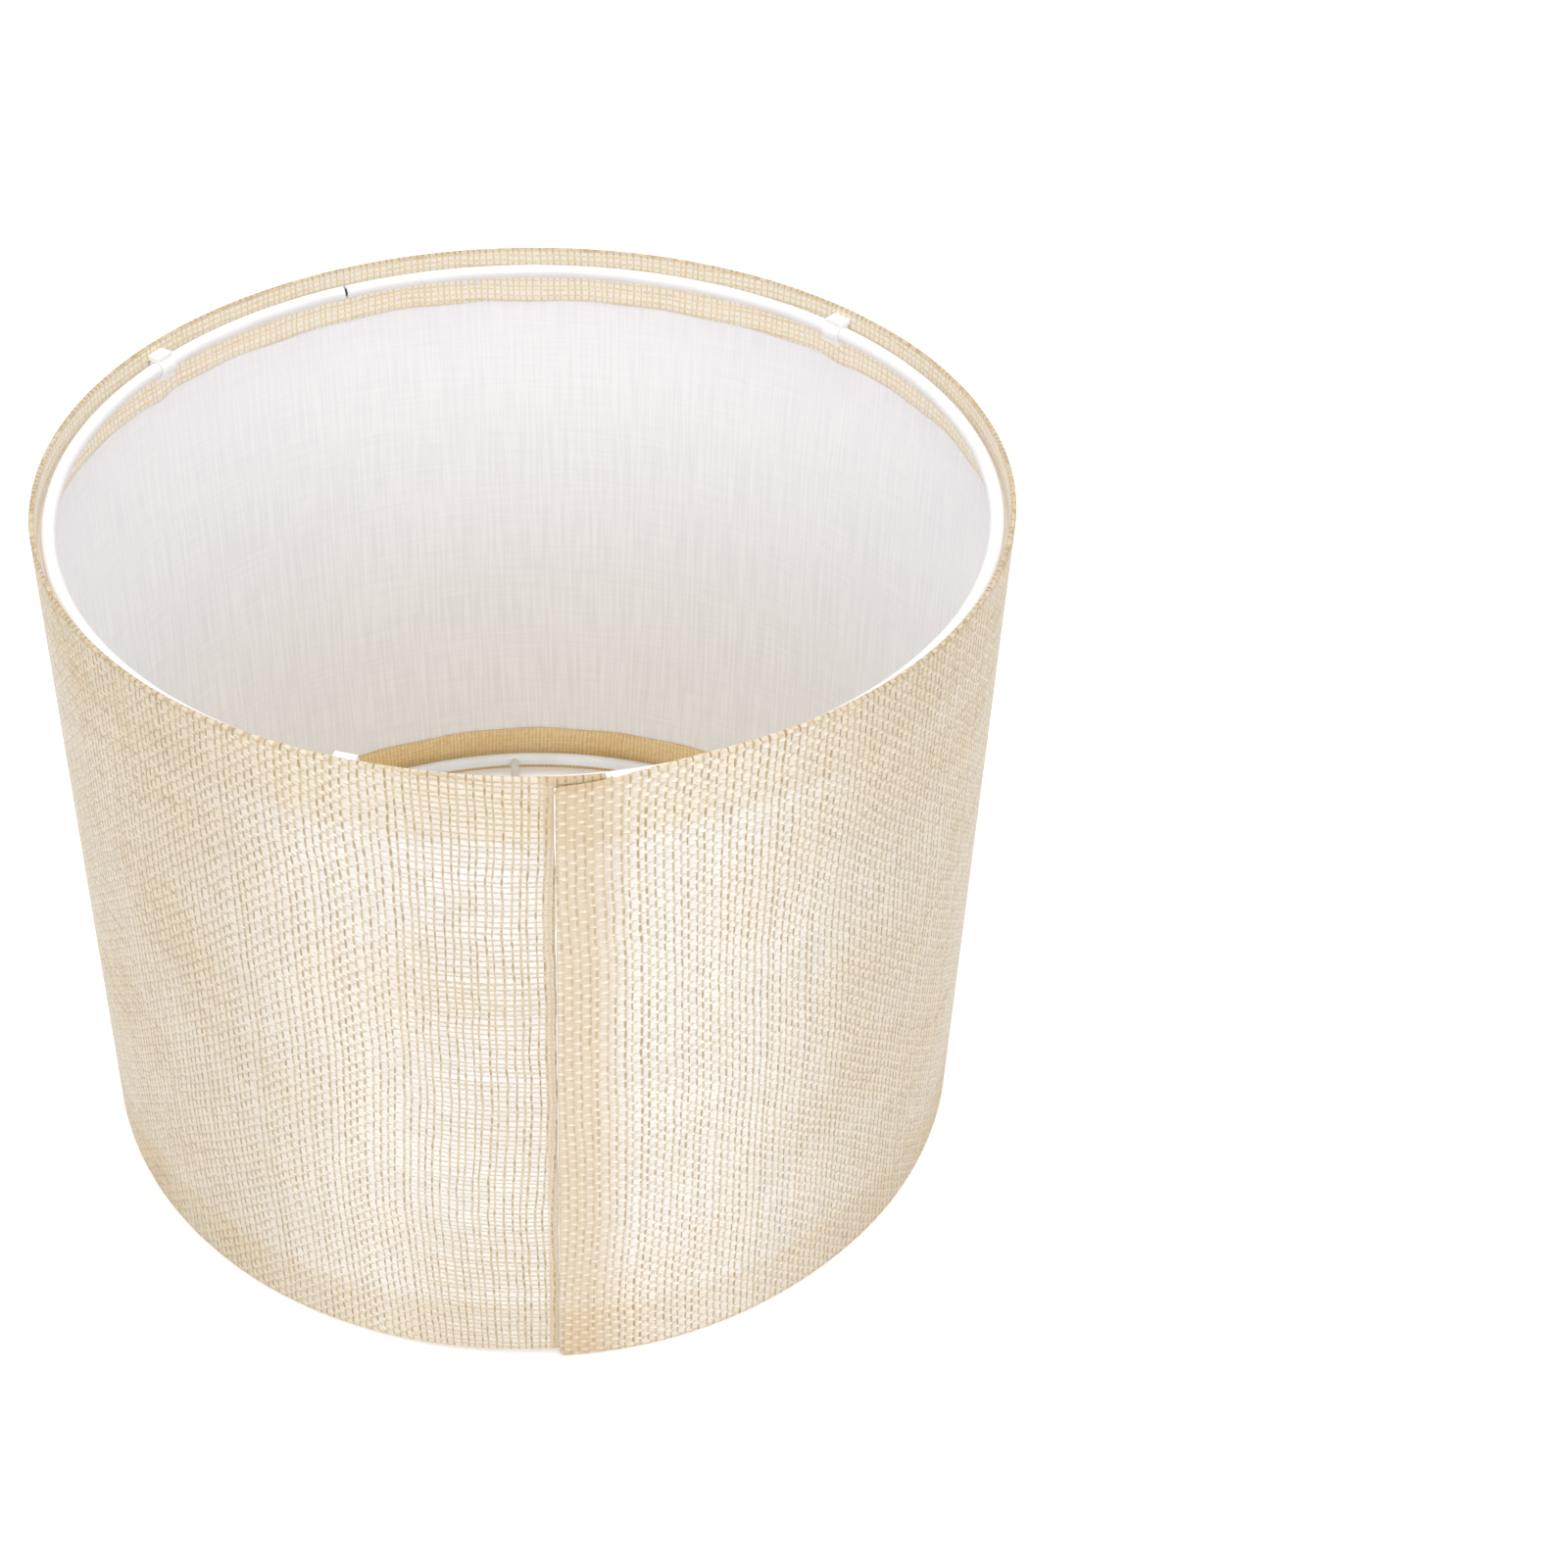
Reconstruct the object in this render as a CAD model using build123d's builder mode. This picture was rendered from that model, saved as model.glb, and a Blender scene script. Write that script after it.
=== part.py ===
from build123d import *
import os
from math import cos, sin, tan, radians, degrees, pi

os.makedirs("parts", exist_ok=True)

# A straight drum lamp shade that stands on its lower rim: woven cloth on a stiff white
# liner, a hoop clipped inside each rim, and a ring fitter on three spokes near the lower rim.
# Millimetres, +Z up, origin at the centre of the circle the lower rim stands on.

# ---- overall sizes
shade_diameter = 250.0  # outside of the cloth
shade_height = 197.0

# ---- layers, from the outside inwards
cloth_thickness = 0.5
liner_thickness = 0.3
glue_gap = 0.05  # between neighbouring layers
hem_depth_top = 17.0
hem_depth_bottom = 17.0

# ---- seam: one end of the sheet laps over the other
seam_azimuth = -87.3  # free edge of the upper layer, degrees anticlockwise from +X
seam_overlap = 12.7
seam_blend = 48.0  # length over which the upper layer climbs onto the lower one
hem_relief = 2.0  # the upper layer's hem stops this far short of the lower layer
tape_width = 9.0
tape_thickness = 0.15
tape_setback = 1.6  # from the free edge
tape_end_gap = 3.0  # from each rim

# ---- hoops
long_arc_diameter = 3.9
short_arc_diameter = 3.7
bottom_hoop_diameter = 4.0
hoop_clearance = 0.8  # hoop to hem, wide enough for a clip's back
top_hoop_drop = 5.9  # rim to hoop centre
bottom_hoop_rise = 6.3  # rim to hoop centre
joint_open_azimuth = 114.9  # the joint that has opened a little
joint_open_gap = 0.9
joint_step_azimuth = 50.2  # where the thicker length meets the thinner one
joint_step_gap = 0.1
pin_diameter = 2.0
pin_length = 16.0
pin_clearance = 0.05
nub_azimuth = 95.8
nub_diameter = 1.6
nub_height = 0.8

# ---- clips
clip_azimuths = {"right": 42.0, "left": 145.6, "front": 250.6}
clip_width = 5.4
clip_thickness = 0.6
clip_leg_thickness = 1.5
clip_leg_inset = 1.4  # how far each leg starts inside the hoop's centre line
clip_clearance = 0.1
clip_mouth = 100.0  # opening of the clip towards the axis, degrees

# ---- fitter
fitter_bore_diameter = 42.0
fitter_outside_diameter = 57.0
fitter_thickness = 1.2
fitter_recess = 24.0  # lower hoop centre to the ring's upper face
ear_length = 8.5
ear_height = 3.4
ear_round = 2.0
lug_root = 1.5  # how far each lug runs in over the ring
spoke_diameter = 2.8
spoke_azimuths = {"back": 92.1, "left": 212.1, "right": 332.1}
spoke_clearance = 0.1
spoke_landing = 4.5  # how far each spoke lies over the ring
spoke_flat = 4.0  # straight run beyond the ears
spoke_stub = 8.0  # straight run at the hoop
spoke_bend = 9.0
tenon_diameter = 1.9
tenon_length = 2.2
tenon_clearance = 0.05
spoke_tip_round = 0.8

# ---- sizes that follow
radius = shade_diameter / 2
cloth_in = radius - cloth_thickness
liner_out = cloth_in - glue_gap
liner_in = liner_out - liner_thickness
hem_out = liner_in - glue_gap
hem_in = hem_out - cloth_thickness
seam_lift = radius - liner_in + tape_thickness + 2 * glue_gap
overlap_angle = degrees(seam_overlap / radius)
hem_start_angle = degrees((seam_overlap + hem_relief) / radius)
flat_angle = degrees((seam_overlap + 2 * hem_relief) / radius)
blend_angle = flat_angle + degrees(seam_blend / radius)
top_hoop_r = hem_in - hoop_clearance - long_arc_diameter / 2
top_hoop_z = shade_height - top_hoop_drop
bottom_hoop_r = hem_in - hoop_clearance - bottom_hoop_diameter / 2
bottom_hoop_z = bottom_hoop_rise
fitter_r = fitter_outside_diameter / 2
fitter_top_z = bottom_hoop_z + fitter_recess
fitter_under_z = fitter_top_z - fitter_thickness
ear_tip_r = fitter_r + ear_length
wire_z = fitter_under_z - spoke_clearance - spoke_diameter / 2


def polar(r, azimuth):
    return (r * cos(radians(azimuth)), r * sin(radians(azimuth)))


def along(azimuth):
    return (-sin(radians(azimuth)), cos(radians(azimuth)))


def radial_plane(azimuth):
    """Plane through the axis: local x runs outwards at this azimuth, local y is up."""
    ca = cos(radians(azimuth))
    sa = sin(radians(azimuth))
    return Plane(origin=(0, 0, 0), x_dir=(ca, sa, 0), z_dir=(sa, -ca, 0))


def spoke_end_plane(azimuth, r):
    """Plane square to a spoke's outer end, at radius r, facing outwards."""
    return Plane(origin=(*polar(r, azimuth), bottom_hoop_z), z_dir=(*polar(1, azimuth), 0))


def layer_outline(r_in, r_out, start_angle):
    """Outline of one rolled layer. It starts on the raised end at start_angle past the
    free edge, drops onto the plain circle, and ends below the raised end."""
    start = seam_azimuth + start_angle
    flat_end = seam_azimuth + flat_angle
    blend_end = seam_azimuth + blend_angle
    finish = seam_azimuth + overlap_angle + 360
    tangents = (along(flat_end), along(blend_end))
    with BuildLine() as outline:
        for r in (r_in, r_out):
            CenterArc((0, 0), r + seam_lift, start, flat_end - start)
            Spline(polar(r + seam_lift, flat_end), polar(r, blend_end), tangents=tangents)
            CenterArc((0, 0), r, blend_end, finish - blend_end)
        Line(polar(r_in + seam_lift, start), polar(r_out + seam_lift, start))
        Line(polar(r_in, finish), polar(r_out, finish))
    return outline.line


clip_angle = degrees(clip_width / top_hoop_r)
slit_angle = degrees((clip_width + 2 * clip_clearance) / top_hoop_r)
clip_leg_end = hem_out
rims = {
    "top": (top_hoop_r, top_hoop_z, long_arc_diameter / 2),
    "bottom": (bottom_hoop_r, bottom_hoop_z, bottom_hoop_diameter / 2),
}

# ---- cover cloth: outer wall, folded rims, and the hems inside them, slit for the clips
with BuildPart() as cover_cloth:
    with BuildSketch():
        with BuildLine():
            add(layer_outline(cloth_in, radius, 0))
        make_face()
    extrude(amount=shade_height)
    for rim_z in (0, shade_height - cloth_thickness):
        with BuildSketch(Plane.XY.offset(rim_z)):
            with BuildLine():
                add(layer_outline(liner_in, radius, 0))
            make_face()
        extrude(amount=cloth_thickness)
        with BuildSketch(Plane.XY.offset(rim_z)):
            with BuildLine():
                add(layer_outline(hem_in, radius, hem_start_angle))
            make_face()
        extrude(amount=cloth_thickness)
    for hem_z, hem_depth in ((0, hem_depth_bottom), (shade_height - hem_depth_top, hem_depth_top)):
        with BuildSketch(Plane.XY.offset(hem_z)):
            with BuildLine():
                add(layer_outline(hem_in, hem_out, hem_start_angle))
            make_face()
        extrude(amount=hem_depth)
    for hoop_r, hoop_z, hoop_radius in rims.values():
        strap_in = hoop_radius + clip_clearance
        leg_middle = strap_in + clip_leg_thickness / 2
        for azimuth in clip_azimuths.values():
            with BuildSketch(radial_plane(azimuth - slit_angle / 2)):
                with Locations((hem_in, hoop_z + leg_middle), (hem_in, hoop_z - leg_middle)):
                    Rectangle(2 * (hem_out - hem_in) + glue_gap, clip_leg_thickness + 2 * clip_clearance)
            revolve(axis=Axis.Z, revolution_arc=slit_angle, mode=Mode.SUBTRACT)
cover_cloth.part.label = "cover_cloth"
export_step(cover_cloth.part, "parts/cover_cloth.step")

# ---- liner sheet: one layer from rim to rim inside the cloth
with BuildPart() as liner_sheet:
    with BuildSketch(Plane.XY.offset(cloth_thickness + glue_gap)):
        with BuildLine():
            add(layer_outline(liner_in, liner_out, 0))
        make_face()
    extrude(amount=shade_height - 2 * (cloth_thickness + glue_gap))
liner_sheet.part.label = "liner_sheet"
export_step(liner_sheet.part, "parts/liner_sheet.step")

# ---- seam tape: between the lower layer's cloth and the upper layer's liner
tape_azimuth = seam_azimuth + degrees(tape_setback / radius)
with BuildPart() as seam_tape:
    with BuildSketch(radial_plane(tape_azimuth)):
        with Locations((radius + glue_gap, tape_end_gap)):
            Rectangle(tape_thickness, shade_height - 2 * tape_end_gap, align=(Align.MIN, Align.MIN))
    revolve(axis=Axis.Z, revolution_arc=degrees(tape_width / radius))
seam_tape.part.label = "seam_tape"
export_step(seam_tape.part, "parts/seam_tape.step")

# ---- top hoop: two lengths of bent rod, bored at both ends for the pins
step_half = degrees(joint_step_gap / 2 / top_hoop_r)
open_half = degrees(joint_open_gap / 2 / top_hoop_r)
bore_angle = degrees((pin_length / 2 + pin_clearance) / top_hoop_r)
short_start = joint_step_azimuth + step_half
short_sweep = joint_open_azimuth - open_half - short_start
long_start = joint_open_azimuth + open_half
long_sweep = 360 - (long_start - (joint_step_azimuth - step_half))
bore_radius = pin_diameter / 2 + pin_clearance

with BuildPart() as top_hoop_long_arc:
    with BuildSketch(radial_plane(long_start)):
        with Locations((top_hoop_r, top_hoop_z)):
            Circle(long_arc_diameter / 2)
    revolve(axis=Axis.Z, revolution_arc=long_sweep)
    for joint in (joint_open_azimuth, joint_step_azimuth):
        with BuildSketch(radial_plane(joint - bore_angle)):
            with Locations((top_hoop_r, top_hoop_z)):
                Circle(bore_radius)
        revolve(axis=Axis.Z, revolution_arc=2 * bore_angle, mode=Mode.SUBTRACT)
top_hoop_long_arc.part.label = "top_hoop_long_arc"
export_step(top_hoop_long_arc.part, "parts/top_hoop_long_arc.step")

with BuildPart() as top_hoop_short_arc:
    with BuildSketch(radial_plane(short_start)):
        with Locations((top_hoop_r, top_hoop_z)):
            Circle(short_arc_diameter / 2)
    revolve(axis=Axis.Z, revolution_arc=short_sweep)
    nub_z = top_hoop_z - short_arc_diameter / 2 - nub_height
    with BuildSketch(Plane.XY.offset(nub_z)):
        with Locations(polar(top_hoop_r, nub_azimuth)):
            Circle(nub_diameter / 2)
    extrude(amount=nub_height + short_arc_diameter / 2)
    for joint in (joint_open_azimuth, joint_step_azimuth):
        with BuildSketch(radial_plane(joint - bore_angle)):
            with Locations((top_hoop_r, top_hoop_z)):
                Circle(bore_radius)
        revolve(axis=Axis.Z, revolution_arc=2 * bore_angle, mode=Mode.SUBTRACT)
top_hoop_short_arc.part.label = "top_hoop_short_arc"
export_step(top_hoop_short_arc.part, "parts/top_hoop_short_arc.step")

pin_angle = degrees(pin_length / top_hoop_r)
with BuildPart() as top_hoop_pins:
    for joint in (joint_open_azimuth, joint_step_azimuth):
        with BuildSketch(radial_plane(joint - pin_angle / 2)):
            with Locations((top_hoop_r, top_hoop_z)):
                Circle(pin_diameter / 2)
        revolve(axis=Axis.Z, revolution_arc=pin_angle)
top_hoop_pins.part.label = "top_hoop_pins"
export_step(top_hoop_pins.part, "parts/top_hoop_pins.step")

# ---- bottom hoop: one closed ring with a radial bore for each spoke's tenon
tenon_tip_r = bottom_hoop_r - bottom_hoop_diameter / 2 + tenon_length
with BuildPart() as bottom_hoop:
    with BuildSketch(radial_plane(0)):
        with Locations((bottom_hoop_r, bottom_hoop_z)):
            Circle(bottom_hoop_diameter / 2)
    revolve(axis=Axis.Z)
    bore_start = bottom_hoop_r - bottom_hoop_diameter
    for azimuth in spoke_azimuths.values():
        with BuildSketch(spoke_end_plane(azimuth, bore_start)):
            Circle(tenon_diameter / 2 + tenon_clearance)
    extrude(amount=tenon_tip_r + tenon_clearance - bore_start, mode=Mode.SUBTRACT)
bottom_hoop.part.label = "bottom_hoop"
export_step(bottom_hoop.part, "parts/bottom_hoop.step")

# ---- clips: six alike, three at each rim. Each is a C that the hoop snaps into from the
# inside, with two flat legs that run outwards through slits in the hem
for rim_name, (hoop_r, hoop_z, hoop_radius) in rims.items():
    grip_in = hoop_radius + clip_clearance
    grip_out = grip_in + clip_thickness
    mouth_half = radians(clip_mouth / 2)
    mouth_reach = 2 * grip_out
    for side_name, azimuth in clip_azimuths.items():
        with BuildPart() as hoop_clip:
            with BuildSketch(radial_plane(azimuth - clip_angle / 2)):
                with Locations((hoop_r, hoop_z)):
                    Circle(grip_out)
                    Circle(grip_in, mode=Mode.SUBTRACT)
                    with BuildLine():
                        Polyline(
                            (0, 0),
                            (-mouth_reach * cos(mouth_half), mouth_reach * sin(mouth_half)),
                            (-mouth_reach * cos(mouth_half), -mouth_reach * sin(mouth_half)),
                            close=True,
                        )
                    make_face(mode=Mode.SUBTRACT)
                leg_start = hoop_r - clip_leg_inset
                leg_middle = grip_in + clip_leg_thickness / 2
                with Locations((leg_start, hoop_z + leg_middle), (leg_start, hoop_z - leg_middle)):
                    Rectangle(clip_leg_end - leg_start, clip_leg_thickness, align=(Align.MIN, Align.CENTER))
            revolve(axis=Axis.Z, revolution_arc=clip_angle)
        clip_name = rim_name + "_clip_" + side_name
        hoop_clip.part.label = clip_name
        export_step(hoop_clip.part, "parts/" + clip_name + ".step")

# ---- fitter ring: flat washer with three lugs, each with two ears turned down beside a spoke
lug_width = spoke_diameter + 2 * spoke_clearance + 2 * fitter_thickness
with BuildPart() as fitter_ring:
    with BuildSketch(Plane.XY.offset(fitter_under_z)):
        Circle(fitter_r)
        for azimuth in spoke_azimuths.values():
            lug_length = lug_root + ear_length
            with Locations(Plane(origin=(0, 0, 0), x_dir=(*polar(1, azimuth), 0), z_dir=(0, 0, 1))):
                with Locations((fitter_r - lug_root, 0)):
                    Rectangle(lug_length, lug_width, align=(Align.MIN, Align.CENTER))
        Circle(fitter_bore_diameter / 2, mode=Mode.SUBTRACT)
    extrude(amount=fitter_thickness)
    for azimuth in spoke_azimuths.values():
        side = radial_plane(azimuth)
        for offset_side in (-1, 1):
            inner_face = offset_side * (lug_width / 2 - fitter_thickness)
            ear_plane = side.offset(inner_face)
            with BuildSketch(ear_plane):
                with Locations((fitter_r, fitter_under_z + fitter_thickness / 2)):
                    Rectangle(ear_length, ear_height + fitter_thickness / 2, align=(Align.MIN, Align.MAX))
                low = vertices().group_by(Axis.Z)[0]
                fillet(low, ear_round)
            extrude(amount=offset_side * fitter_thickness)
fitter_ring.part.label = "fitter_ring"
export_step(fitter_ring.part, "parts/fitter_ring.step")

# ---- spokes: bent wire from the ring, between its ears, down to a tenon in the lower hoop
wire_start_r = fitter_r - spoke_landing
for side_name, azimuth in spoke_azimuths.items():
    side = radial_plane(azimuth)
    with BuildPart() as spoke:
        with BuildLine(side) as route:
            FilletPolyline(
                (wire_start_r, wire_z),
                (ear_tip_r + spoke_flat, wire_z),
                (bottom_hoop_r - spoke_stub, bottom_hoop_z),
                (bottom_hoop_r - 0.2, bottom_hoop_z),
                radius=spoke_bend,
            )
        with BuildSketch(Plane(origin=route.line @ 0, z_dir=route.line % 0)):
            Circle(spoke_diameter / 2)
        sweep(path=route.line)
        tip = edges().filter_by(GeomType.CIRCLE).sort_by_distance(route.line @ 0)[0]
        fillet(tip, spoke_tip_round)
        with BuildSketch(side):
            with Locations((bottom_hoop_r, bottom_hoop_z)):
                Circle(bottom_hoop_diameter / 2 + tenon_clearance)
        revolve(axis=Axis.Z, revolution_arc=6, mode=Mode.SUBTRACT)
        with BuildSketch(side):
            with Locations((bottom_hoop_r, bottom_hoop_z)):
                Circle(bottom_hoop_diameter / 2 + tenon_clearance)
        revolve(axis=Axis.Z, revolution_arc=-6, mode=Mode.SUBTRACT)
        tenon_start = bottom_hoop_r - bottom_hoop_diameter / 2 - spoke_diameter / 2
        with BuildSketch(spoke_end_plane(azimuth, tenon_start)):
            Circle(tenon_diameter / 2)
        extrude(amount=tenon_tip_r - tenon_start)
    spoke_name = "spoke_" + side_name
    spoke.part.label = spoke_name
    export_step(spoke.part, "parts/" + spoke_name + ".step")
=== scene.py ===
import math

import bmesh
import bpy
from mathutils import Euler, Matrix, Quaternion, Vector


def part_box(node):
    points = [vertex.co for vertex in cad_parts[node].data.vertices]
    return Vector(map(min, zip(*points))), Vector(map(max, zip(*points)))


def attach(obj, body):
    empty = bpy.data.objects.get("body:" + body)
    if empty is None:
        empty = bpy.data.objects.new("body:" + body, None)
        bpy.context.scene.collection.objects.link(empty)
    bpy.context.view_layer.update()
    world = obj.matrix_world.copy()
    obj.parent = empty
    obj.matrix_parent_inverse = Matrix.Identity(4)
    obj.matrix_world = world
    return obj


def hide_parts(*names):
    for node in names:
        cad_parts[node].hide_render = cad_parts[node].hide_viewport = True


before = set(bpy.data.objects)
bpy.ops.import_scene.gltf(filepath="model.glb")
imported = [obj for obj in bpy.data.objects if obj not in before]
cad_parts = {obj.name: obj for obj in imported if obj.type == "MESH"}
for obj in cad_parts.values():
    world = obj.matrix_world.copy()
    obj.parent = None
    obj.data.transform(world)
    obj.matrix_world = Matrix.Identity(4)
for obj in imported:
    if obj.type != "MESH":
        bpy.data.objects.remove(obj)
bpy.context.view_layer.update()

# ---------------------------------------------------------------- fitter ring
# The fitter is a flat ring pressed from steel sheet with pairs of ears that
# hold the three wires. It is coated in white enamel, which pools a little at
# the edges and shows the faintest orange peel.


class Shade:
    """A shader socket; arithmetic on it adds the Math nodes that it needs."""

    def __init__(self, tree, socket=None):
        self.tree = tree
        self.socket = socket

    def node(self, kind, settings=None, inputs=None, output=0):
        """Any other node: its type, its settings, then its sockets."""
        made = self.tree.nodes.new(kind)
        for name, value in (settings or {}).items():
            setattr(made, name, value)
        for name, value in (inputs or {}).items():
            if isinstance(value, Shade):
                self.tree.links.new(value.socket, made.inputs[name])
            else:
                made.inputs[name].default_value = value
        return Shade(self.tree, made.outputs[output])

    def maths(self, operation, first, second=None):
        given = {0: first} if second is None else {0: first, 1: second}
        return self.node("ShaderNodeMath", {"operation": operation}, given)

    def __add__(self, other):
        return self.maths("ADD", self, other)

    __radd__ = __add__

    def __mul__(self, other):
        return self.maths("MULTIPLY", self, other)

    __rmul__ = __mul__

    def __sub__(self, other):
        return self.maths("SUBTRACT", self, other)

    def __rsub__(self, other):
        return self.maths("SUBTRACT", other, self)

    def __truediv__(self, other):
        return self.maths("DIVIDE", self, other)

    def __gt__(self, other):
        return self.maths("GREATER_THAN", self, other)

    def floor(self):
        return self.maths("FLOOR", self)

    def abs(self):
        return self.maths("ABSOLUTE", self)

    def root(self):
        return self.maths("SQRT", self)

    def sine(self):
        return self.maths("SINE", self)

    def cosine(self):
        return self.maths("COSINE", self)

    def most(self, other):
        return self.maths("MAXIMUM", self, other)

    def least(self, other):
        return self.maths("MINIMUM", self, other)

    def ramp(self, low, high):
        """0 below low, 1 above high and smooth between them."""
        return self.node(
            "ShaderNodeMapRange",
            {"interpolation_type": "SMOOTHSTEP"},
            {"Value": self, "From Min": low, "From Max": high},
        )

    def blend(self, colour_off, colour_on):
        """This value as the factor between two colours."""
        return self.node(
            "ShaderNodeMix",
            {"data_type": "RGBA"},
            {0: self, 6: colour_off, 7: colour_on},
            output=2,
        )

    def tinted(self, tint, strength=1.0):
        """This colour multiplied by a tint."""
        return self.node(
            "ShaderNodeMix",
            {"data_type": "RGBA", "blend_type": "MULTIPLY"},
            {0: strength, 6: self, 7: tint},
            output=2,
        )

    def vector(self, x, y):
        return self.node("ShaderNodeCombineXYZ", None, {0: x, 1: y})

    def part(self, axis):
        return self.node("ShaderNodeSeparateXYZ", None, {0: self}, output=axis)

    def noise(self, scale, detail=2.0, kind="3D", output=0):
        """Smooth noise at this vector, about 0.5."""
        return self.node(
            "ShaderNodeTexNoise",
            {"noise_dimensions": kind},
            {"Vector": self, "Scale": scale, "Detail": detail},
            output,
        )

    def chance(self):
        """Three chance values from 0 to 1 for each flat place."""
        return self.node(
            "ShaderNodeTexWhiteNoise",
            {"noise_dimensions": "2D"},
            {"Vector": self},
            output=1,
        )

    def bump(self, distance, strength):
        """This height as a normal."""
        sockets = {"Height": self, "Distance": distance, "Strength": strength}
        return self.node("ShaderNodeBump", None, sockets)


def linear(red, green, blue):
    """A colour as it is picked on a screen, 0 to 255, for a shader socket."""
    made = []
    for c in (red, green, blue):
        c = c / 255
        made.append(c / 12.92 if c <= 0.04045 else ((c + 0.055) / 1.055) ** 2.4)
    return (*made, 1.0)


def new_finish(name, uniform):
    """A material with one Principled shader, a node maker and that shader."""
    material = bpy.data.materials.new(name)
    material.use_nodes = True
    tree = material.node_tree
    tree.nodes.clear()
    shader = tree.nodes.new("ShaderNodeBsdfPrincipled")
    output = tree.nodes.new("ShaderNodeOutputMaterial")
    tree.links.new(shader.outputs[0], output.inputs[0])
    for socket, value in uniform.items():
        shader.inputs[socket].default_value = value
    return material, Shade(tree), shader


def feed(shader, **sockets):
    """Links varying values to the shader: colour, roughness, normal or glow."""
    names = {
        "colour": "Base Color",
        "roughness": "Roughness",
        "normal": "Normal",
        "glow": "Emission Color",
    }
    for key, value in sockets.items():
        value.tree.links.new(value.socket, shader.inputs[names[key]])


def coated(name, pale, deep, roughness, grain, relief, uniform=None):
    """A smooth coat or moulding: slow changes of tone and a fine skin."""
    material, make, shader = new_finish(name, uniform or {})
    place = make.node("ShaderNodeTexCoord", None, None, output=3)
    slow = place.noise(45.0, 3.0)
    fine = place.noise(grain, 2.0)
    feed(
        shader,
        colour=slow.ramp(0.35, 0.68).blend(linear(*deep), linear(*pale)),
        roughness=roughness + (slow - 0.5) * 0.18 + (fine - 0.5) * 0.06,
        normal=fine.bump(relief, 0.6),
    )
    return material


def finish_node(name, material):
    """Gives a carried-over CAD node its finish."""
    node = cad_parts[name]
    for place in node.material_slots:
        place.link = "DATA"
        place.material = material


ring_enamel = coated(
    "ring_enamel",
    (246, 245, 242),
    (236, 234, 230),
    roughness=0.34,
    grain=900.0,
    relief=0.00004,
    uniform={"Coat Weight": 0.25, "Coat Roughness": 0.2},
)
finish_node("fitter_ring", ring_enamel)

# --------------------------------------------------------------- three spokes
# Each spoke is a hard steel wire, bent once. One end is held between a pair
# of the ring's ears and the other in a socket of the lower hoop. The wires
# are coated white like the ring; their colour is painted a little greyer, as
# painted shade, since they lie down inside the drum.

spoke_enamel_shaded = coated(
    "spoke_enamel_shaded",
    (210, 207, 201),
    (194, 191, 184),
    roughness=0.38,
    grain=1100.0,
    relief=0.00005,
    uniform={"Coat Weight": 0.2, "Coat Roughness": 0.25},
)
for name in ("spoke_back", "spoke_left", "spoke_right"):
    finish_node(name, spoke_enamel_shaded)

# --------------------------------------------------------------------- hoops
# The lower hoop is a round plastic-coated hoop with three sockets for the
# wires. The upper one is two arcs of extruded white plastic rod, joined by
# bare steel pins pushed into their ends.

# Painted shade: the lower hoop's plastic is painted greyer than the upper one's,
# since it lies in shade down inside the drum.
hoop_plastic = coated(
    "hoop_plastic",
    (228, 228, 227),
    (216, 216, 214),
    roughness=0.42,
    grain=700.0,
    relief=0.00003,
)
upper_plastic = coated(
    "upper_hoop_plastic",
    (243, 242, 243),
    (235, 234, 234),
    roughness=0.4,
    grain=700.0,
    relief=0.00003,
)
finish_node("bottom_hoop", hoop_plastic)
finish_node("top_hoop_long_arc", upper_plastic)
finish_node("top_hoop_short_arc", upper_plastic)

pin_steel = coated(
    "pin_steel",
    (92, 90, 88),
    (48, 46, 45),
    roughness=0.38,
    grain=1500.0,
    relief=0.00002,
    uniform={"Metallic": 1.0},
)
finish_node("top_hoop_pins", pin_steel)

# --------------------------------------------------------------------- liner
# The stiff white lining is a laminated linen sheet, rolled with the cloth and
# stuck to its back. Its two ends pass over each other at the seam, where the
# outer one stands off on the tape.

LINER_THICKNESS = 0.0003
LINER_PROUD = 0.0004  # its cut edge shows past the cloth's down the seam
SEAM_AZIMUTH = math.radians(-87.3)
OVERLAP = 0.0127
SEAM_LIFT = 0.00110  # how far the flap stands off on the other end and the tape
RAISED_LENGTH = 0.0167
LIFT_EASE_TOP = 0.022  # the length over which the lift dies away, at the rim
LIFT_EASE_MORE = 0.050  # and how much longer it is at the foot
TOP_STEP = 0.0027
TOP_EASE = 0.028
UNDER_STEP = 0.0011
UNDER_EASE = 0.055
FOOT_STEP = 0.0018
FOOT_EASE = 0.110

shade_low, shade_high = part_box("cover_cloth")
shade_height = shade_high.z - shade_low.z
shade_radius = shade_high.y
sheet_length = 2 * math.pi * shade_radius + OVERLAP


def clamped(t):
    return min(max(t, 0.0), 1.0)


def eased(t):
    t = clamped(t)
    return t * t * (3 - 2 * t)


def stations(*runs):
    """Places along a line, from runs of (length, steps)."""
    made = [0.0]
    for length, steps in runs:
        start = made[-1]
        made += [start + length * (k + 1) / steps for k in range(steps)]
    return made


# The sheet's length from the flap's free edge: finely divided for its rounded
# corner, less so where it climbs on the other end, then evenly round the drum.
CORNER_RUN = 0.0020
CLIMB_RUN = 0.0700
around = stations(
    (CORNER_RUN, 5), (CLIMB_RUN, 25), (sheet_length - CORNER_RUN - CLIMB_RUN, 250)
)


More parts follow.
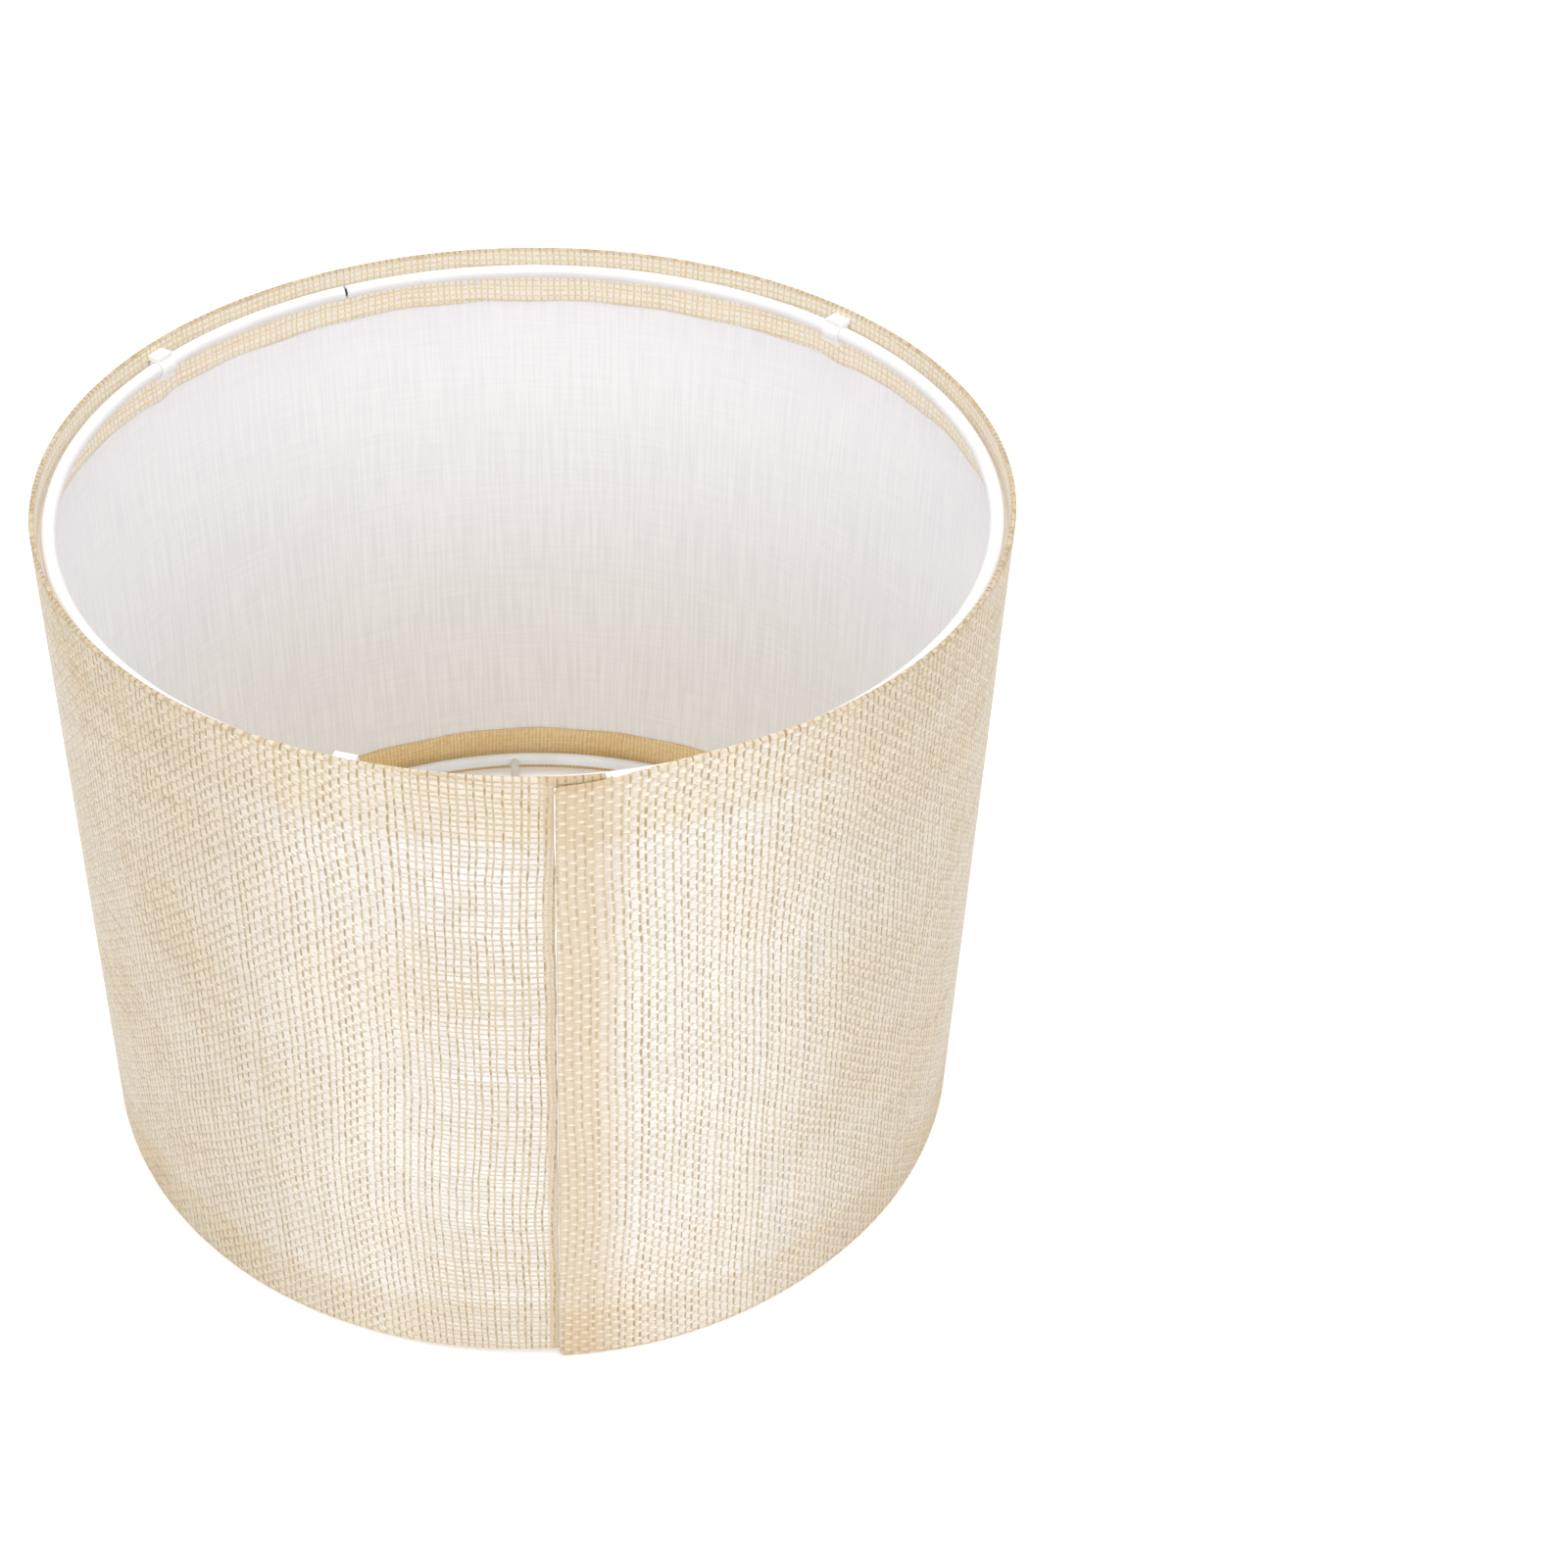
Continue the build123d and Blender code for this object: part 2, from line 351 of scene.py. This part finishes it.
def rolled_sheet(name, across, profile, drop, left_out=None, proud=0.0):
    """A flat sheet's grid rolled into the drum.

    across: the places of its rows down the sheet. profile: row place to
    (radius, height). drop: (place round, row place, height) to a small extra
    height. left_out: whether a face there is cut away. proud: how far the
    first edge stands out of line.
    """
    bm = bmesh.new()
    bmesh.ops.create_grid(
        bm, x_segments=len(around) - 1, y_segments=len(across) - 1, size=0.5
    )
    flat_map = bm.loops.layers.uv.new("flat")
    columns = len(around) - 1
    rows = len(across) - 1
    places = {}
    for v in bm.verts:
        column = round((v.co.x + 0.5) * columns)
        row = round((v.co.y + 0.5) * rows)
        places[v] = (around[column], across[row])
    for face in bm.faces:
        for loop in face.loops:
            u, s = places[loop.vert]
            loop[flat_map].uv = (u * 1000, s * 1000)
    if left_out:
        gone = []
        for face in bm.faces:
            u = sum(places[v][0] for v in face.verts) / 4
            s = sum(places[v][1] for v in face.verts) / 4
            if left_out(u, s):
                gone.append(face)
        bmesh.ops.delete(bm, geom=gone, context="FACES")
    for v in bm.verts:
        u, s = places[v]
        radius, height = profile(s)
        if u < 0.0001 and proud:
            uneven = math.sin(s * 310.0) * math.sin(s * 127.0 + 2.0)
            u -= proud * (0.6 + 0.4 * uneven)
        downward = clamped((shade_high.z - height) / shade_height)
        ease_length = LIFT_EASE_TOP + LIFT_EASE_MORE * downward
        lift = SEAM_LIFT * (1 - eased((u - RAISED_LENGTH) / ease_length))
        azimuth = SEAM_AZIMUTH + u / shade_radius
        r = radius + lift
        height += drop(u, s, height)
        v.co = (r * math.cos(azimuth), r * math.sin(azimuth), height)
    bmesh.ops.recalc_face_normals(bm, faces=bm.faces)
    middle = bm.faces[:][len(bm.faces) // 2]
    centre = middle.calc_center_median()
    if middle.normal.dot(Vector((centre.x, centre.y, 0))) < 0:
        bmesh.ops.reverse_faces(bm, faces=bm.faces)
    mesh = bpy.data.meshes.new(name)
    bm.to_mesh(mesh)
    bm.free()
    mesh.shade_smooth()
    piece = bpy.data.objects.new(name, mesh)
    bpy.context.scene.collection.objects.link(piece)
    return piece


def thicken(piece, thickness):
    """Gives a sheet its thickness, half to each side."""
    solid = piece.modifiers.new("thickness", "SOLIDIFY")
    solid.thickness = thickness
    solid.offset = 0.0
    solid.use_even_offset = True


liner_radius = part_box("liner_sheet")[1].y - LINER_THICKNESS / 2
liner_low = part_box("liner_sheet")[0].z
liner_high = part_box("liner_sheet")[1].z
liner_rows = stations((liner_high - liner_low, 40))


def seam_step(u, s, height):
    """The sheet's ends miss each other: low at the top, high at the foot."""
    upward = (height - shade_low.z) / shade_height
    from_end = sheet_length - u
    flap_low = TOP_STEP * (1 - eased(u / TOP_EASE)) * upward**2
    under_low = UNDER_STEP * (1 - eased(from_end / UNDER_EASE)) * upward**3
    foot_high = FOOT_STEP * (1 - eased(from_end / FOOT_EASE)) * (1 - upward)
    return foot_high - flap_low - under_low


liner = rolled_sheet(
    "liner",
    liner_rows,
    lambda s: (liner_radius, liner_high - s),
    seam_step,
    proud=LINER_PROUD,
)
thicken(liner, LINER_THICKNESS)

material, make, shader = new_finish("linen_liner", {"Sheen Weight": 0.0})
flat = make.node("ShaderNodeUVMap", {"uv_map": "flat"})
u = flat.part(0)
s = flat.part(1)
drift = flat.noise(0.012, 1.0, "2D")
upright = make.vector(u * 1.1 + drift * 3, s * 0.035).noise(1.0, 2.0, "2D")
level = make.vector(u * 0.045, s * 0.95 + drift * 3).noise(1.0, 2.0, "2D")
cloudy = flat.noise(0.02, 3.0, "2D")
tone = (upright * 0.6 + level * 0.25 + cloudy * 0.15).ramp(0.3, 0.7)
lining_top = tone.blend(linear(246, 245, 251), linear(254, 253, 255))
lining_foot_shade = tone.blend(linear(222, 218, 211), linear(233, 229, 223))
# Painted shade: the lining is painted darker and yellower toward its foot, for the
# deeper shade low inside the drum.
feed(
    shader,
    colour=s.ramp(5.0, 190.0).blend(lining_top, lining_foot_shade),
    roughness=0.82 + (level - 0.5) * 0.15,
    normal=(upright + level).bump(0.00008, 0.5),
)
liner.data.materials.append(material)
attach(liner, "root")
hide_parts("liner_sheet")

# --------------------------------------------------------------- cover cloth
# The cover is an open plain weave of slubby tan and cream yarns, rolled with
# its liner and turned in over both rims, where its hems are glued down inside.
# The flap's turned-in hem is cut away so that it lies flat on the other end.

CLOTH_THICKNESS = 0.0005
HEM_DEPTH = 0.017
FOLD_OUTER = 0.0007
fold_radius = FOLD_OUTER - CLOTH_THICKNESS / 2
wall_radius = shade_radius - CLOTH_THICKNESS / 2
fold_length = math.pi * fold_radius
hem_length = HEM_DEPTH - FOLD_OUTER
wall_length = shade_height - 2 * FOLD_OUTER
cloth_width = 2 * (hem_length + fold_length) + wall_length
CORNER = 0.0014  # the radius of the flap's corners
CORNER_WALL = 0.004  # the wall next to each rim, where the corners are cut

cloth_rows = stations(
    (hem_length, 6),
    (fold_length, 8),
    (CORNER_WALL, 3),
    (wall_length - 2 * CORNER_WALL, 44),
    (CORNER_WALL, 3),
    (fold_length, 8),
    (hem_length, 6),
)


def cloth_profile(s):
    """Up the inner hem, over the top fold, down the wall, under and up again."""
    turn_in = wall_radius - 2 * fold_radius
    if s > cloth_width / 2:
        radius, height = cloth_profile(cloth_width - s)
        return radius, shade_low.z + shade_high.z - height
    if s < hem_length:
        return turn_in, shade_high.z - FOLD_OUTER - hem_length + s
    angle = min((s - hem_length) / fold_radius, math.pi)
    past = max(s - hem_length - fold_length, 0.0)
    return (
        wall_radius - fold_radius - fold_radius * math.cos(angle),
        shade_high.z - FOLD_OUTER + fold_radius * math.sin(angle) - past,
    )


# Where each clip's legs go through the hem, as a place along the sheet.
clip_places = []
for name in ("top_clip_right", "top_clip_left", "top_clip_front"):
    low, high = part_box(name)
    azimuth = math.atan2(low.y + high.y, low.x + high.x) - SEAM_AZIMUTH
    clip_places.append((azimuth % (2 * math.pi)) * shade_radius)

CUT_WAVE = 0.0002
CLIP_PULL = 0.0011  # a clip pulls the hem's edge down by this much
CLIP_PULL_REACH = 0.007
HEM_GAP = 0.0147  # the flap has no hem this far from its free edge


def cloth_drop(u, s, height):
    """The seam's step, the flap's rounded corners and the hem's uneven cut."""
    drop = seam_step(u, s, height)
    if u < CORNER:
        rounded = CORNER - math.sqrt(CORNER**2 - (CORNER - u) ** 2)
        upper = eased((height - shade_high.z + CORNER_WALL) / CORNER_WALL)
        lower = eased((CORNER_WALL + shade_low.z - height) / CORNER_WALL)
        drop += rounded * (lower - upper)
    inner = min(s, cloth_width - s)
    if inner < hem_length:
        cut = CUT_WAVE * math.sin(u * 41.0)
        cut += CUT_WAVE * math.sin(u * 97.0 + 1.3)
        cut += CUT_WAVE * math.sin(u * 233.0 + 0.4)
        side = -1 if s < cloth_width / 2 else 1
        for place in clip_places:
            near = max(0.0, 1 - ((u - place) / CLIP_PULL_REACH) ** 2)
            cut += CLIP_PULL * near**2
        drop += side * cut * (1 - inner / hem_length)
    return drop


def hem_left_out(u, s):
    """The flap's hems stop short, where it lies over the other end."""
    folded_in = min(s, cloth_width - s) < hem_length + fold_length * 0.45
    return u < HEM_GAP and folded_in


cloth = rolled_sheet("cloth", cloth_rows, cloth_profile, cloth_drop, hem_left_out)
thicken(cloth, CLOTH_THICKNESS)

# From here on the sheet's own places are in millimetres: the warps run down
# the drum, side by side round it, and the wefts run round it.
WARP_PITCH = 1.97
WEFT_PITCH = 1.67

material, make, shader = new_finish(
    "woven_cloth",
    {"Sheen Weight": 0.15, "Sheen Roughness": 0.5, "Emission Strength": 0.27},
)
flat = make.node("ShaderNodeUVMap", {"uv_map": "flat"})
from_flap = flat.part(0)
from_raw_edge = flat.part(1)
wander = flat.noise(0.011, 1.0, "2D", output=1)
ripple = flat.noise(0.12, 1.0, "2D", output=1)
u = from_flap + (wander.part(0) - 0.5) * 6.0 + (ripple.part(0) - 0.5) * 0.7
s = from_raw_edge + (wander.part(1) - 0.5) * 8.0 + (ripple.part(1) - 0.5) * 0.8
warp_place = u / WARP_PITCH
weft_place = s / WEFT_PITCH
warp = warp_place.floor()
weft = weft_place.floor()


def yarn(own, place, other_place, seed, half_width, swell):
    """One set of yarns: the distance off each middle in half widths, its
    round section and its tone."""
    chance = make.vector(own + seed, seed).chance()
    along = make.vector(own * 7.31 + seed, other_place * 0.11)
    slub = along.noise(1.0, 2.0, "2D")
    stout = 1 + (chance.part(1) - 0.5) * 0.35 + (slub - 0.5) * swell
    thick = (half_width * stout).most(0.02)
    off = ((place - own) - 0.5 - (chance.part(0) - 0.5) * 0.32) / thick
    section = (1 - off * off).most(0.0).root()
    long = make.vector(own * 3.7 + seed, other_place * 0.03).noise(1.0, 2.0, "2D")
    tone = 0.5 + (chance.part(2) - 0.5) * 0.06
    tone = tone + (long - 0.5) * 0.4 + (slub - 0.5) * 0.7
    return off, section, tone


def turn(count):
    """1 on even yarns and -1 on odd ones."""
    half = count * 0.5
    return 1 - 4 * (half - half.floor())


# The yarns are drawn apart beside the other end's edge. Further round from
# the seam they lie fuller and flatter; their colours there go tanner with the
# fuller yarns and are painted darker, as painted shade for the drum's sides.
cut = sheet_length * 1000
from_seam = from_flap.least(cut - OVERLAP * 1000 - from_flap).abs()
open_patch = from_flap.ramp(cut - 62.0, cut - 38.0)
away = from_seam.ramp(45.0, 140.0)
side_shade = from_seam.ramp(30.0, 100.0)
crisp = 1 - away * 0.8
fullness = (flat.noise(0.03, 2.0, "2D") - 0.5) * 1.0
plump = 1 + away * 0.25 + fullness

# Each yarn goes over one and under the next, and the next yarn the other way.
warp_wave = (weft_place * math.pi).sine() * turn(warp)
weft_wave = (warp_place * math.pi).sine() * turn(weft) * -1
weft_dive = (warp_place * math.pi).cosine() * turn(weft)
warp_half = (0.115 - open_patch * 0.01) * (1 + warp_wave * 0.25 * crisp)
warp_half = warp_half + away * 0.02
weft_swell = 1 + weft_wave * (1.15 - open_patch * 0.85) * crisp
weft_half = (0.14 - open_patch * 0.005) * plump * weft_swell
warp_off, warp_section, warp_tone = yarn(
    warp, warp_place, weft_place, 11.0, warp_half, 0.9
)
weft_off, weft_section, weft_tone = yarn(
    weft, weft_place, warp_place, 47.0, weft_half, 1.0
)
warp_height = warp_section * (0.55 + warp_wave * 0.30 + warp_section * 0.15)
weft_height = weft_section * (0.55 + weft_wave * 0.30 + weft_section * 0.15)
warp_over = warp_height > weft_height
highest = warp_height.most(weft_height)
covered = highest.ramp(0.04, 0.22)

# Golden undyed warps and pale bleached wefts. A weft is painted duller where
# it dives, as painted shade on the slope that turns from the light, and at its
# rounded edges, partly painted shade and partly its own fuzz. Its tone also
# wanders at random, more so far round from the seam, and beside the other
# end's edge it is dull all over.
crossing = make.vector(warp, weft).chance()
warp_pale = away.blend(linear(218, 202, 172), linear(216, 198, 162))
warp_deep = away.blend(linear(184, 161, 122), linear(182, 157, 114))
weft_pale = away.blend(linear(248, 243, 232), linear(240, 232, 215))
weft_dull_and_shaded = away.blend(linear(202, 186, 158), linear(188, 169, 134))
warp_tinge = (warp_tone + (crossing.part(0) - 0.5) * 0.5).ramp(0.26, 0.74)
warp_colour = warp_tinge.blend(warp_deep, warp_pale)
dive_shade = (weft_dive * crisp).ramp(-0.35, 0.65) * (0.35 + weft_tone * 0.6)
uneven = (crossing.part(1) - 0.5) * 0.9 + (weft_tone - 0.5) * 1.7
weft_shade_and_dullness = (dive_shade + uneven * away).most(open_patch * 0.75).least(1.0)
weft_colour = weft_shade_and_dullness.blend(weft_pale, weft_dull_and_shaded)
weft_colour = weft_section.ramp(0.10, 0.50).blend(weft_dull_and_shaded, weft_colour)
yarn_colour = (warp_over * (1 - away * 0.5)).blend(weft_colour, warp_colour)

# The bands of the sheet where something else backs the cloth. There the
# windows are painted tan, as painted shade where the backing keeps out the
# light that would come through.
from_edge = from_raw_edge.least(cloth_width * 1000 - from_raw_edge)
outer_hem = 1 - from_edge.ramp(33.0, 38.0)
top_hem = 1 - from_raw_edge.ramp(16.0, 17.0)
foot_hem = from_raw_edge.ramp(cloth_width * 1000 - 17.8, cloth_width * 1000 - 16.6)
flap_band = 1 - from_flap.ramp(5.0, 21.0)
under_band = from_flap.ramp(cut - 15.8, cut - 15.0)
backed_and_side_shade = outer_hem * 0.2 + foot_hem * 0.25 + flap_band * 0.7 + under_band * 0.6
backed_and_side_shade = (backed_and_side_shade + away * 0.3).least(1.0)

# The white liner shows through the windows between the yarns, each with a
# little shade below its upper yarn and beside its left one.
pane = make.vector((warp_place + 0.5).floor(), (weft_place + 0.5).floor()).chance()
cloud = flat.noise(0.06, 3.0, "2D")
bright = ((cloud - 0.5) * 1.2 + pane.part(0) * 0.5 + 0.25).ramp(0.0, 1.0)
window = bright.blend(linear(229, 223, 216), linear(244, 240, 236))
# Painted shade: windows go tan on the backed bands and far round the drum.
window = backed_and_side_shade.blend(window, linear(218, 205, 187))
below = weft_off.ramp(0.9, 1.05) * (1 - weft_off.ramp(1.1, 2.0))
beside = warp_off.ramp(0.9, 1.05) * (1 - warp_off.ramp(1.1, 2.2))
shade = below.most(beside) * (0.5 + away * 0.3)
window = shade.blend(window, linear(192, 176, 150))

# A second layer's yarns show in the windows where the cloth lies double.
upright = (warp_place * math.tau * 1.5).cosine()
level = (weft_place * math.tau).cosine()
second = upright.ramp(0.0, 0.9).most(level.ramp(0.3, 0.9) * 0.5)
doubled = (foot_hem * 0.7 + under_band * 0.8 + flap_band * 0.3).least(1.0)
window = (second * doubled).blend(window, linear(214, 188, 148))

# The upper hem is painted pale and bright, as painted light on and through
# it; the lower one is painted deep, as painted shade, and finely ribbed.
window = top_hem.blend(window, linear(255, 253, 249))
yarn_colour = (top_hem * 0.72).blend(yarn_colour, linear(255, 237, 206))
yarn_colour = (flap_band * 0.35).blend(yarn_colour, linear(232, 216, 192))
woven = covered.blend(window, yarn_colour)
ribs = upright * 0.35 + pane.part(1) * 0.3 + 0.35
ribs = ribs.blend(linear(224, 193, 143), linear(255, 238, 195))
woven = (foot_hem * 0.75).blend(woven, ribs)

# Slow blotches of tone and a darker fold at each rim; painted shade on the
# hem bands and the seam's bands, and on the drum's sides far from the seam.
patches_and_backed_shade = flat.noise(0.030, 3.0, "2D").ramp(0.38, 0.78) * (0.30 + away * 0.18)
patches_and_backed_shade = (patches_and_backed_shade + outer_hem * 0.25).least(1.0) * (1 - top_hem)
woven = woven.tinted(linear(246, 233, 208), patches_and_backed_shade)
folded = from_edge.ramp(15.4, 16.4) * (1 - from_edge.ramp(17.9, 18.9))
woven = woven.tinted(linear(236, 225, 203), folded * 0.4)
woven = woven.tinted(linear(255, 250, 238), foot_hem)
# Painted shade on the flap's band and the strip beside it.
band_shade = (flap_band * 0.45 + under_band * 0.2).least(1.0)
woven = woven.tinted(linear(246, 234, 219), band_shade)
# Painted shade: further round from the seam, on the drum's sides, the cloth is
# tinted darker.
woven = woven.tinted(side_shade.blend(linear(244, 244, 244), linear(228, 224, 217)))
cut_end = from_flap.ramp(cut - 1.7, cut - 1.3)
woven = cut_end.blend(woven, linear(250, 248, 244))

# Painted light: the hems glow in their own colour, standing in for light
# from outside that comes through the cloth.
lit_through = top_hem * (1.1 - from_raw_edge.ramp(8.0, 12.0) * 0.75)
lit_through = lit_through + foot_hem * 0.4
feed(
    shader,
    colour=woven,
    roughness=0.78 + (warp_tone - 0.5) * 0.2,
    normal=(highest * crisp).bump(0.00030, 0.5),
    glow=lit_through.blend(linear(0, 0, 0), woven),
)
cloth.data.materials.append(material)
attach(cloth, "root")
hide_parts("cover_cloth")

# ----------------------------------------------------------------- seam tape
# A strip of double-sided tape under the flap holds the drum shut. It is a
# clear film with a yellowish adhesive, slightly crinkled.

tape_film = coated(
    "tape_film",
    (240, 232, 214),
    (226, 214, 190),
    roughness=0.3,
    grain=500.0,
    relief=0.00006,
)
finish_node("seam_tape", tape_film)

# --------------------------------------------------------------------- clips
# Small moulded clips hold each hoop against the hem. Each is one piece of
# white nylon, slightly translucent, with a dull moulded skin.

clip_nylon = coated(
    "clip_nylon",
    (250, 249, 247),
    (238, 237, 234),
    roughness=0.45,
    grain=900.0,
    relief=0.00004,
)
for hoop in ("top", "bottom"):
    for side in ("right", "left", "front"):
        finish_node(f"{hoop}_clip_{side}", clip_nylon)

# --------------------------------------------------------------------- stage
# A plain white floor, soft boxes in front and above, and an even white sky.

FLOOR_HALF = 10.0
FLOOR_DROP = 0.0002  # keeps the floor clear of the rim that stands on it

bm = bmesh.new()
bmesh.ops.create_grid(bm, x_segments=8, y_segments=8, size=FLOOR_HALF)
mesh = bpy.data.meshes.new("floor")
bm.to_mesh(mesh)
bm.free()
floor = bpy.data.objects.new("floor", mesh)
bpy.context.scene.collection.objects.link(floor)
mesh.transform(Matrix.Translation((0, 0, shade_low.z - FLOOR_DROP)))
floor_finish = coated(
    "floor_paper",
    (250, 250, 250),
    (248, 248, 248),
    roughness=0.9,
    grain=60.0,
    relief=0.0001,
    uniform={"Emission Color": (1, 1, 1, 1), "Emission Strength": 0.17},
)
floor.data.materials.append(floor_finish)


def soft_box(name, place, target, width, height, power):
    """A rectangular lamp aimed at a target."""
    light = bpy.data.lights.new(name, "AREA")
    light.shape = "RECTANGLE"
    light.size = width
    light.size_y = height
    light.energy = power
    holder = bpy.data.objects.new(name, light)
    bpy.context.scene.collection.objects.link(holder)
    holder.location = place
    aim = Vector(target) - Vector(place)
    holder.rotation_euler = aim.to_track_quat("-Z", "Y").to_euler()


soft_box("front_box", (-0.1, -2.0, 1.3), (0, 0, 0.10), 1.6, 1.6, 11.0)
soft_box("top_box", (0.0, 0.0, 2.6), (0, 0, 0), 3.0, 3.0, 48.5)

world = bpy.data.worlds.new("studio")
bpy.context.scene.world = world
world.use_nodes = True
sky = world.node_tree.nodes["Background"]
sky.inputs["Color"].default_value = (1, 1, 1, 1)
sky.inputs["Strength"].default_value = 0.74
bpy.context.scene.view_settings.view_transform = "Standard"

# The camera stands in front and looks down through the open top.
CAMERA_PLACE = Vector((0.0, -0.53075, shade_high.z + 0.32785))
LOOK_DOWN = 0.66295  # radians
ROLL = -0.0190
camera_data = bpy.data.cameras.new("camera")
camera_data.sensor_width = 36.0
camera_data.lens = 55.612
camera_data.shift_x = 0.16409
camera_data.shift_y = -0.03055
camera_data.clip_start = 0.01
camera = bpy.data.objects.new("camera", camera_data)
bpy.context.scene.collection.objects.link(camera)
camera.location = CAMERA_PLACE
camera.rotation_mode = "QUATERNION"
tilt = Euler((math.pi / 2 - LOOK_DOWN, 0, 0)).to_quaternion()
camera.rotation_quaternion = tilt @ Quaternion((0, 0, 1), ROLL)
bpy.context.scene.camera = camera
